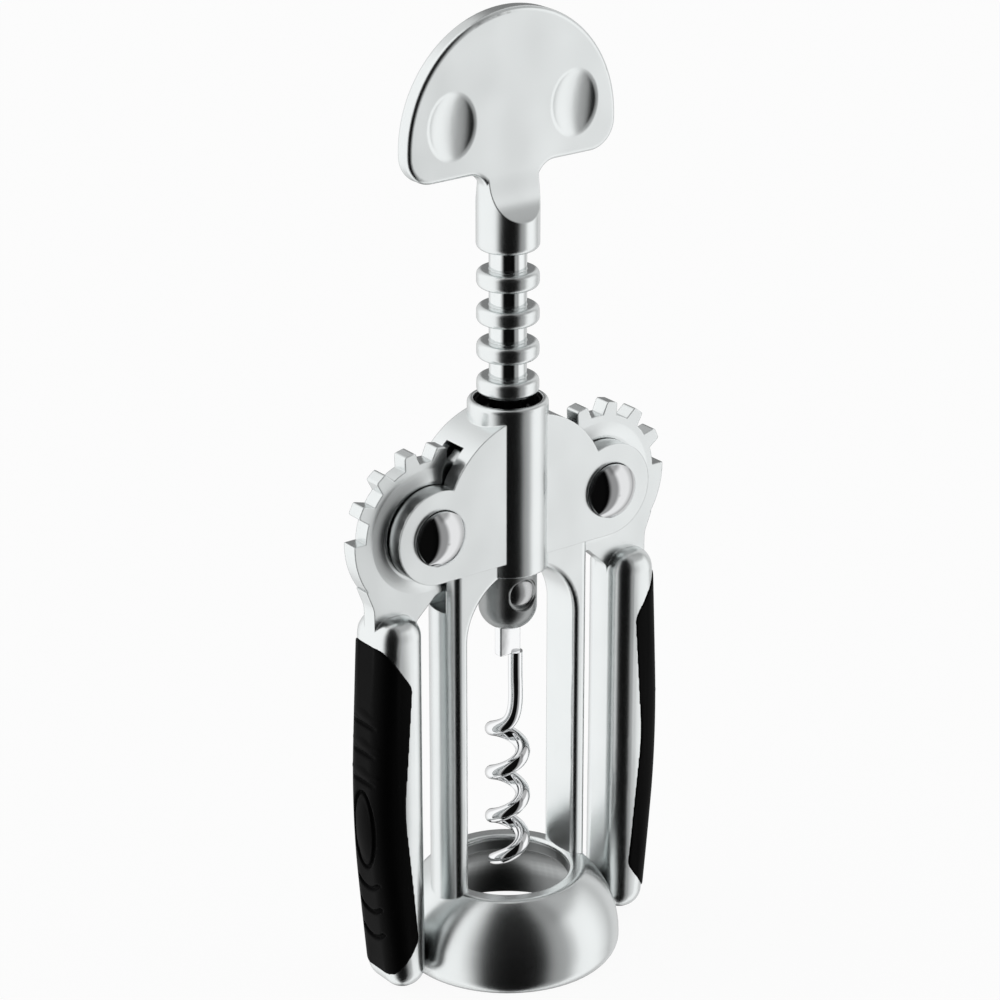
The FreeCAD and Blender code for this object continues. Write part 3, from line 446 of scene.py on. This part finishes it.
# %% Ribs
RIB_HEIGHTS = (44.8 * MM, 50.6 * MM, 56.4 * MM)
RIB_HALF_SIZE = Vector((1.2, 4.4, 1.9)) * MM
RIB_STANDS_OUT = 0.22 * MM
RIB_ABOVE_GROOVE = 1.7 * MM
GROOVE_R = 0.5 * MM
GROOVE_DEPTH = 0.45 * MM
GROOVE_LENGTH = 10 * MM
BELOW_GROOVE = 0.6 * MM

for height in RIB_HEIGHTS:
    face, _ = outer_face(grip, height + RIB_ABOVE_GROOVE)
    middle = face + Vector((RIB_HALF_SIZE.x - RIB_STANDS_OUT, 0, 0))
    bpy.ops.mesh.primitive_uv_sphere_add(segments=48, ring_count=24, location=middle,
                                         scale=RIB_HALF_SIZE)
    carve(grip, bpy.context.object, "UNION")
for height in RIB_HEIGHTS:
    face, _ = outer_face(grip, height - BELOW_GROOVE)
    middle = face + Vector((GROOVE_DEPTH - GROOVE_R, 0, BELOW_GROOVE))
    bpy.ops.mesh.primitive_cylinder_add(vertices=24, radius=GROOVE_R, depth=GROOVE_LENGTH,
                                        location=middle, rotation=(math.pi / 2, 0, 0))
    carve(grip, bpy.context.object)
print("ribs:", len(RIB_HEIGHTS))

# %% [markdown]
# The pad is a low oval cushion with a groove around it. The groove's tool is an oval curve with
# a round section, which keeps one width all round, as a squashed torus would not. Stretching the
# curve to its oval also scales the thickness at its points, so that is set back to 1.

# %% Oval pad
PAD_HEIGHT = 34.6 * MM
PAD_HALF_WIDTH = 3.1 * MM
PAD_HALF_LENGTH = 7.9 * MM
PAD_GROOVE_R = 0.42 * MM
PAD_GROOVE_SINK = 0.3 * MM
CUSHION = Vector((1.5, 3.65, 8.7)) * MM
PAD_STANDS_OUT = 0.35 * MM

face, lean = outer_face(grip, PAD_HEIGHT)
middle = face + Vector((CUSHION.x - PAD_STANDS_OUT, 0, 0))
bpy.ops.mesh.primitive_uv_sphere_add(segments=64, ring_count=32, location=middle,
                                     rotation=(0, lean, 0), scale=CUSHION)
carve(grip, bpy.context.object, "UNION")
middle = face + Vector((PAD_GROOVE_SINK, 0, 0))
bpy.ops.curve.primitive_bezier_circle_add(radius=1.0, location=middle,
                                          rotation=(0, math.pi / 2 + lean, 0))
ring = bpy.context.object
ring.scale = (PAD_HALF_LENGTH, PAD_HALF_WIDTH, 1.0)
settle(ring)
for point in ring.data.splines[0].bezier_points:
    point.radius = 1.0
ring.data.resolution_u = 24
ring.data.fill_mode = "FULL"
ring.data.bevel_depth = PAD_GROOVE_R
ring.data.bevel_resolution = 4
bpy.ops.object.convert(target="MESH")
ring = bpy.context.object
print("groove tool:", [round(size / MM, 2) for size in ring.dimensions], "mm")
carve(grip, ring)
print("pad:", round(2 * PAD_HALF_LENGTH / MM, 1), "mm long")

# %% [markdown]
# The curved grooves are lower arcs of rings that lie in the face. Each is a torus that loses all
# that is above a level cut, and is then leaned back like the face.

# %% Curved grooves
SMILE_HEIGHTS = (22.2 * MM, 17.0 * MM, 11.4 * MM)
SMILE_R = 4.0 * MM
SMILE_RISE = SMILE_R * 0.45

for height in SMILE_HEIGHTS:
    face, lean = outer_face(grip, height)
    bpy.ops.mesh.primitive_torus_add(major_radius=SMILE_R, minor_radius=GROOVE_R,
                                     major_segments=72, minor_segments=16,
                                     location=face + Vector((0, 0, SMILE_R)),
                                     rotation=(0, math.pi / 2, 0))
    smile = bpy.context.object
    settle(smile)
    bpy.ops.object.mode_set(mode="EDIT")
    bpy.ops.mesh.select_all(action="SELECT")
    bpy.ops.mesh.bisect(plane_co=face + Vector((0, 0, SMILE_RISE)), plane_no=(0, 0, 1),
                        clear_outer=True, use_fill=True)
    bpy.ops.mesh.select_all(action="SELECT")
    bpy.ops.transform.rotate(value=lean, orient_axis="Y", center_override=face)
    bpy.ops.object.mode_set(mode="OBJECT")
    carve(grip, smile)
print("curved grooves:", len(SMILE_HEIGHTS))

# %% [markdown]
# The melted skin is mirrored for the other arm. A negative scale turns a mesh inside out, so its
# normals are worked out again.

# %% Melt the skin, then mirror it
SKIN_VOXEL = 0.22 * MM
SKIN_SOFTENING = 0.5
SOFTENING_ROUNDS = 2

apply_modifier(grip, "REMESH", mode="VOXEL", voxel_size=SKIN_VOXEL)
apply_modifier(grip, "SMOOTH", factor=SKIN_SOFTENING, iterations=SOFTENING_ROUNDS)
other = new_object("start", grip.data.copy())
other.scale.x = -1
settle(other)
bpy.ops.object.mode_set(mode="EDIT")
bpy.ops.mesh.select_all(action="SELECT")
bpy.ops.mesh.normals_make_consistent(inside=False)
bpy.ops.object.mode_set(mode="OBJECT")
new_piece(grip, "left_grip_moulding", rubber, "left_wing", "left_grip")
new_piece(other, "right_grip_moulding", rubber, "right_wing", "right_grip")

# %% [markdown]
# ## The worm
#
# The worm is one round wire, wound into an open screw whose top straightens into a shank, with a
# flat tang above it that is pressed into the spindle. Its mirror finish shows every facet, so
# the wire is a smooth curve with a round section, and its radius shrinks over the first third of
# a turn to make the point. The turns come from the screw's pitch and radius in a loop, and a
# cubic curve leads from the last turn into the shank without a kink.

# %% The wire's line
HELIX_R = 2.98 * MM
HELIX_PITCH = 9.35 * MM
HELIX_TURNS = 3.35
TIP_ANGLE = math.radians(100)
TIP_TAPER_TURNS = 0.32
TIP_BLUNTNESS = 0.12
POINTS_PER_TURN = 24
BEND_POINTS = 8
BEND_RISE = 8.9 * MM
SHANK = Vector((1.5, -0.45, 0)) * MM
SHANK_LENGTH = 4.8 * MM
SHANK_SHARES = (0.35, 0.7, 1.05)  # the last point is inside the tang
TANG_SHOW = 5.7 * MM

tang_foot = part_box("spindle")[0][2] - TANG_SHOW
shank_foot = tang_foot - SHANK_LENGTH
helix_foot = shank_foot - BEND_RISE - HELIX_TURNS * HELIX_PITCH

line = []
for i in range(round(HELIX_TURNS * POINTS_PER_TURN) + 1):
    turn = i / POINTS_PER_TURN
    angle = TIP_ANGLE + math.tau * turn
    taper = math.sqrt(min(1.0, turn / TIP_TAPER_TURNS))
    spot = Vector((HELIX_R * math.cos(angle), HELIX_R * math.sin(angle),
                   helix_foot + HELIX_PITCH * turn))
    line.append((spot, TIP_BLUNTNESS + (1 - TIP_BLUNTNESS) * taper))
top = line[-1][0]
forward = Vector((-math.sin(angle) * HELIX_R, math.cos(angle) * HELIX_R,
                  HELIX_PITCH / math.tau)).normalized()
end = SHANK + Vector((0, 0, shank_foot))
pull = (end - top).length / 3
for i in range(1, BEND_POINTS + 1):
    t = i / BEND_POINTS
    spot = (top * (1 - t) ** 3 + (top + forward * pull) * 3 * t * (1 - t) ** 2
            + (end - Vector((0, 0, pull))) * 3 * t * t * (1 - t) + end * t ** 3)
    line.append((spot, 1.0))
line += [(end + Vector((0, 0, SHANK_LENGTH * share)), 1.0) for share in SHANK_SHARES]
print("wire line:", len(line), "points, lowest at", round(line[0][0].z / MM, 2), "mm")

# %% The wire, swept along it
WIRE_R = 1.42 * MM

path = bpy.data.curves.new("wire", "CURVE")
path.dimensions = "3D"
spline = path.splines.new("NURBS")
spline.points.add(len(line) - 1)
for point, (spot, share) in zip(spline.points, line):
    point.co = (*spot, 1.0)
    point.radius = share
spline.order_u = 4
spline.use_endpoint_u = True
spline.resolution_u = 4
path.bevel_depth = WIRE_R
path.bevel_resolution = 6
path.use_fill_caps = True
wire = new_object("wire", path)
pick(wire)
bpy.ops.object.convert(target="MESH")
wire = bpy.context.object
print("wire:", len(wire.data.polygons), "faces")

# %% [markdown]
# The tang is the flattened end of the wire: a flat bar with softened edges, from the shank up
# into the spindle. It joins the wire as one mesh, because it is one piece of steel.

# %% The tang
TANG_WIDTH = 4.8 * MM
TANG_THICKNESS = 2.0 * MM
TANG_EDGE = 0.3 * MM

tang_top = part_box("worm")[1][2]
bpy.ops.mesh.primitive_cube_add(size=1.0, location=(0, 0, (tang_foot + tang_top) / 2),
                                scale=(TANG_WIDTH, TANG_THICKNESS, tang_top - tang_foot))
tang = bpy.context.object
settle(tang)
apply_modifier(tang, "BEVEL", width=TANG_EDGE, segments=4)
pick(tang, wire)
bpy.ops.object.join()
new_piece(wire, "worm_wire", wire_chrome, "screw", "worm")

# %% [markdown]
# ## The studio
#
# Polished and satin metal shows its surroundings more than itself. The corkscrew stands in a
# white tent, and the tent is open on the side that the camera works from: that dark opening
# makes the black bands down the barrel, the collar and the bell. A grey card beside it softens
# the band's right edge, and a canopy over the right side is darker than the walls. The back
# wall is a little darker than the sides, with a seam and with a darker gap in its middle. Lamps
# and panels could be built around the object, but bands of angles in the world's light are
# simpler, and put the same light on the metal at every height. The camera itself sees plain
# white behind the object.

# %% The camera's place
CAMERA_PLACE = Vector((-358.8, -480.1, 336.6)) * MM
CAMERA_TARGET = Vector((-1.15, 0.86, 93.12)) * MM
towards_camera = (CAMERA_PLACE - CAMERA_TARGET).normalized()
camera_side = Vector((towards_camera.x, towards_camera.y, 0)).normalized()
right_side = Vector((-camera_side.y, camera_side.x, 0))
print("camera's distance:", round((CAMERA_PLACE - CAMERA_TARGET).length, 3), "m")

# %% The tent, as light that arrives from each direction
# Angles round the tent are in degrees, from the camera's side towards the right. Each group
# says where a panel begins, where it is full, where it starts to fade and where it ends.
OPENING = (-50, -22, 36, 50)
CARD = (20, 40, 61, 77)
CANOPY = (45, 70, 115, 140)
SEAM = (121, 126, 130, 135)
BACK_WALL = (100, 122, -150, -115)
GAP = (160, 174, -174, -160)
# Climbs are sines of the angle above the horizon.
CANOPY_CLIMB = (0.42, 0.62)
TOP_CLIMB = (0.965, 0.997)
TENT_LIGHT = 1.1

world = bpy.data.worlds.new("white_tent")
bpy.context.scene.world = world
world.use_nodes = True
tent = Signal(world.node_tree)
direction = tent.node("ShaderNodeTexCoord", out="Generated")


def along(axis):
    return tent.node("ShaderNodeVectorMath", {"operation": "DOT_PRODUCT"},
                     {0: direction, 1: tuple(axis)}, out="Value")


def band(signal, begins, full, fades, ends):
    """1 from full to fades, and 0 outside begins and ends."""
    return signal.step(begins, full) - signal.step(fades, ends)


def band_behind(signal, begins, full, fades, ends):
    """The same for a band across the back, where the angle jumps from 180 to -180."""
    return signal.step(begins, full) + (1 - signal.step(fades, ends))


def lit(share, light):
    """What a panel leaves of the light, where share is how much of the direction it covers."""
    return 1 - share * (1 - light)


turn = tent.math("ARCTAN2", along(right_side), along(camera_side)) * (180 / math.pi)
climb = along((0, 0, 1))
below_top = 1 - climb.step(*TOP_CLIMB)
light = lit(band(turn, *OPENING) * below_top, 0.004)
light = light * lit(band(turn, *CARD) * below_top, 0.36)
light = light * lit(climb.step(*CANOPY_CLIMB) * band(turn, *CANOPY), 0.45)
light = light * lit(band_behind(turn, *BACK_WALL), 0.68)
light = light * lit(band(turn, *SEAM), 0.7)
light = light * lit(band_behind(turn, *GAP), 0.3) * TENT_LIGHT
seen = tent.node("ShaderNodeLightPath", out="Is Camera Ray")
seen.mix(light, grey(1.0)).feed(world.node_tree.nodes["Background"], "Color")
print("tent:", len(world.node_tree.nodes), "nodes")

# %% [markdown]
# The floor is a plain pale sheet. To the camera it nearly glows, so that it runs into the white
# behind the object, and a small share of it is matt and takes the soft shadow. Rays that a metal
# face mirrors downwards pass through it, because a sheet right under the object would wash out
# the dark bands that give the metal its shape.

# %% The floor
FLOOR_SIZE = 6.0
FLOOR_GLOW = 0.94

bpy.ops.object.select_all(action="DESELECT")
bpy.ops.mesh.primitive_plane_add(size=FLOOR_SIZE, location=(0, 0, 0))
floor = bpy.context.object
floor.name = "floor"
material, place, shader = new_material("pale_floor")
shader.inputs["Base Color"].default_value = grey(0.9)
shader.inputs["Roughness"].default_value = 0.9
shader.inputs["Specular IOR Level"].default_value = 0.1
matt = Signal(place.tree, shader.outputs[0])
glow = place.node("ShaderNodeEmission")
clear = place.node("ShaderNodeBsdfTransparent")
to_camera = place.node("ShaderNodeLightPath", out="Is Camera Ray") * FLOOR_GLOW
sheet = place.node("ShaderNodeMixShader", {}, {0: to_camera, 1: matt, 2: glow})
to_metal = place.node("ShaderNodeLightPath", out="Is Glossy Ray")
surface = place.node("ShaderNodeMixShader", {}, {0: to_metal, 1: sheet, 2: clear})
surface.feed(place.tree.nodes["Material Output"], "Surface")
floor.data.materials.append(material)
print("floor:", floor.dimensions.x, "m wide")

# %% [markdown]
# The camera is a long lens above and to the left. From that far off the uprights stay nearly
# parallel, and both the front and the left wing's outer face show.

# %% The camera
CAMERA_LENS = 125.0

camera_data = bpy.data.cameras.new("camera")
camera = new_object("camera", camera_data)
bpy.context.scene.camera = camera
camera_data.lens = CAMERA_LENS
camera.location = CAMERA_PLACE
camera.rotation_euler = towards_camera.to_track_quat("Z", "Y").to_euler()
bpy.context.scene.view_settings.view_transform = "Standard"
print("camera at", [round(v, 4) for v in camera.location])
